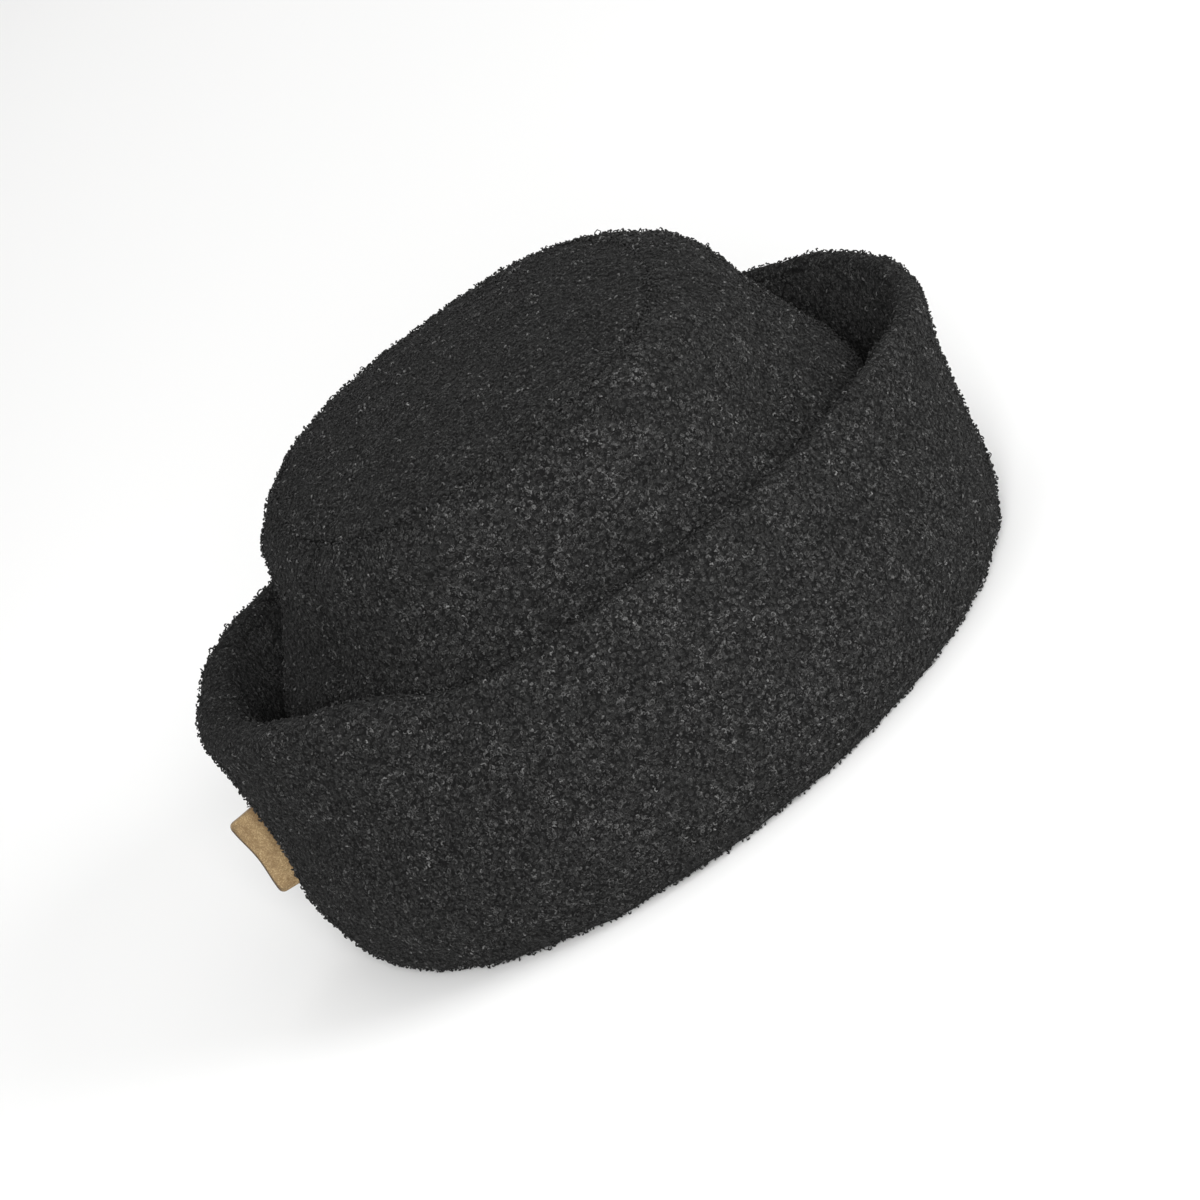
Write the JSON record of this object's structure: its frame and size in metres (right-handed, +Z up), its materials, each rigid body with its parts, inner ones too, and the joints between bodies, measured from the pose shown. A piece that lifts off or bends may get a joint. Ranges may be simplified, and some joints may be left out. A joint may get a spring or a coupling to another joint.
{
  "type": "beanie",
  "caption": "Soft brimless hat of thick curly fleece with an oval tip, a deep turned-up cuff and a small leather tab; it stands on the rounded fold of its cuff.",
  "frame": {"origin": "On the floor under the middle of the hat's box, which the hat stands on with the fold of its cuff", "axes": "+Z is up, out through the tip of the crown; +Y is the back, away from the viewer of the picture; +X is the side away from the tab, where the cuff flares out most"},
  "size_m": [0.247, 0.2262, 0.1227],
  "materials": {
    "fleece": "matt curly fleece, charcoal black",
    "tab_leather": "matt nubuck, tan, with darker cut edges"
  },
  "bodies": {
    "root": {"crown_tip": "fleece", "crown_front_panel": "fleece", "crown_back_panel": "fleece", "cuff": "fleece", "label_tab": "tab_leather"}
  },
  "joints": []
}
